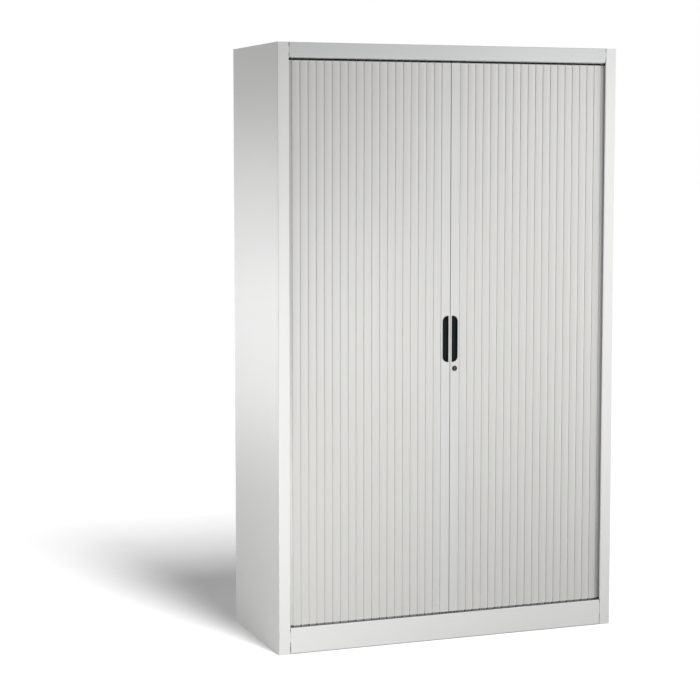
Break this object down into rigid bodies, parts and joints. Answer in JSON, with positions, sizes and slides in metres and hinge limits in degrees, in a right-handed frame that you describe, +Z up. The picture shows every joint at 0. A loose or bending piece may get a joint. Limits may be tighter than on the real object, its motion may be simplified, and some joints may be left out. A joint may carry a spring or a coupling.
{
  "type": "roller shutter tool cabinet",
  "caption": "Tall free-standing steel cabinet with sideways-sliding slatted roller-shutter leaves, adjustable shelves, a lock and levelling feet.",
  "frame": {"origin": "on the floor under the middle of the cabinet", "axes": "+Z up, the front faces -Y, +X to the right as seen from the front"},
  "size_m": [1.2, 0.48, 1.97],
  "materials": {
    "carcass_steel": "light grey powder coat, fine texture",
    "slat_plastic": "light grey, satin",
    "closing_bar_metal": "light grey powder coat",
    "cup_plastic": "black, lightly textured",
    "track_plastic": "grey, low friction",
    "guide_plastic": "dark, low friction",
    "lock_metal": "dark nickel",
    "zinc_steel": "zinc plated",
    "foot_plastic": "black"
  },
  "bodies": {
    "cabinet": {"back_rivets": "zinc_steel", "back_stiffener": "carcass_steel", "base_panel": "carcass_steel", "foot_brackets": "zinc_steel", "head_panel": "carcass_steel", "left_back_panel": "carcass_steel", "left_front_upright": "carcass_steel", "left_lower_track": "track_plastic", "left_rear_upright": "carcass_steel", "left_side_lining": "carcass_steel", "left_side_panel": "carcass_steel", "left_upper_track": "track_plastic", "plinth_panel": "carcass_steel", "raised_floor": "carcass_steel", "rear_base_rail": "carcass_steel", "rear_lining": "carcass_steel", "right_back_panel": "carcass_steel", "right_front_upright": "carcass_steel", "right_lower_track": "track_plastic", "right_rear_upright": "carcass_steel", "right_side_lining": "carcass_steel", "right_side_panel": "carcass_steel", "right_upper_track": "track_plastic", "shelf_1": "carcass_steel", "shelf_2": "carcass_steel", "shelf_3": "carcass_steel", "shelf_4": "carcass_steel", "shelf_clips": "zinc_steel", "top_panel": "carcass_steel", "track_stops": "track_plastic"},
    "left_leaf": {"left_closing_bar": "closing_bar_metal", "left_finger_cup": "cup_plastic", "left_bar_end_caps": "guide_plastic", "strike_plate": "zinc_steel", "left_curtain_slats": "slat_plastic", "left_curtain_guides": "guide_plastic"},
    "right_leaf": {"right_closing_bar": "closing_bar_metal", "right_finger_cup": "cup_plastic", "right_bar_end_caps": "guide_plastic", "lock_housing": "lock_metal", "lock_nut": "zinc_steel", "right_curtain_slats": "slat_plastic", "right_curtain_guides": "guide_plastic"},
    "lock": {"lock_plug": "lock_metal", "hook_cam": "zinc_steel", "cam_screw": "zinc_steel"},
    "front_left_pad": {"front_left_foot_pad": "foot_plastic"},
    "front_left_stud": {"front_left_foot_stud": "zinc_steel"},
    "front_right_pad": {"front_right_foot_pad": "foot_plastic"},
    "front_right_stud": {"front_right_foot_stud": "zinc_steel"},
    "rear_left_pad": {"rear_left_foot_pad": "foot_plastic"},
    "rear_left_stud": {"rear_left_foot_stud": "zinc_steel"},
    "rear_right_pad": {"rear_right_foot_pad": "foot_plastic"},
    "rear_right_stud": {"rear_right_foot_stud": "zinc_steel"}
  },
  "joints": [
    {"name": "left_leaf_slide", "type": "slide", "parent": "cabinet", "child": "left_leaf", "axis": [-1, 0, 0], "range_m": [0, 0.52], "deforming": ["left_curtain_slats", "left_curtain_guides"]},
    {"name": "right_leaf_slide", "type": "slide", "parent": "cabinet", "child": "right_leaf", "axis": [1, 0, 0], "range_m": [0, 0.52], "deforming": ["right_curtain_slats", "right_curtain_guides"]},
    {"name": "lock_turn", "type": "hinge", "parent": "right_leaf", "child": "lock", "pos_m": [0.0165, -0.22, 0.91], "axis": [0, 1, 0], "range_deg": [0, 90]},
    {"name": "front_left_pad_drop", "type": "slide", "parent": "cabinet", "child": "front_left_pad", "axis": [0, 0, -1], "range_m": [0, 0.015]},
    {"name": "front_left_stud_turn", "type": "hinge", "parent": "front_left_pad", "child": "front_left_stud", "pos_m": [-0.555, -0.19, 0.03], "axis": [0, 0, -1], "range_deg": [0, 3600]},
    {"name": "front_right_pad_drop", "type": "slide", "parent": "cabinet", "child": "front_right_pad", "axis": [0, 0, -1], "range_m": [0, 0.015]},
    {"name": "front_right_stud_turn", "type": "hinge", "parent": "front_right_pad", "child": "front_right_stud", "pos_m": [0.555, -0.19, 0.03], "axis": [0, 0, -1], "range_deg": [0, 3600]},
    {"name": "rear_left_pad_drop", "type": "slide", "parent": "cabinet", "child": "rear_left_pad", "axis": [0, 0, -1], "range_m": [0, 0.015]},
    {"name": "rear_left_stud_turn", "type": "hinge", "parent": "rear_left_pad", "child": "rear_left_stud", "pos_m": [-0.555, 0.19, 0.03], "axis": [0, 0, -1], "range_deg": [0, 3600]},
    {"name": "rear_right_pad_drop", "type": "slide", "parent": "cabinet", "child": "rear_right_pad", "axis": [0, 0, -1], "range_m": [0, 0.015]},
    {"name": "rear_right_stud_turn", "type": "hinge", "parent": "rear_right_pad", "child": "rear_right_stud", "pos_m": [0.555, 0.19, 0.03], "axis": [0, 0, -1], "range_deg": [0, 3600]}
  ],
  "couplings": [
    {"joint": "front_left_stud_turn", "follows": "front_left_pad_drop", "rad_per_m": 4188.8},
    {"joint": "front_right_stud_turn", "follows": "front_right_pad_drop", "rad_per_m": 4188.8},
    {"joint": "rear_left_stud_turn", "follows": "rear_left_pad_drop", "rad_per_m": 4188.8},
    {"joint": "rear_right_stud_turn", "follows": "rear_right_pad_drop", "rad_per_m": 4188.8}
  ]
}
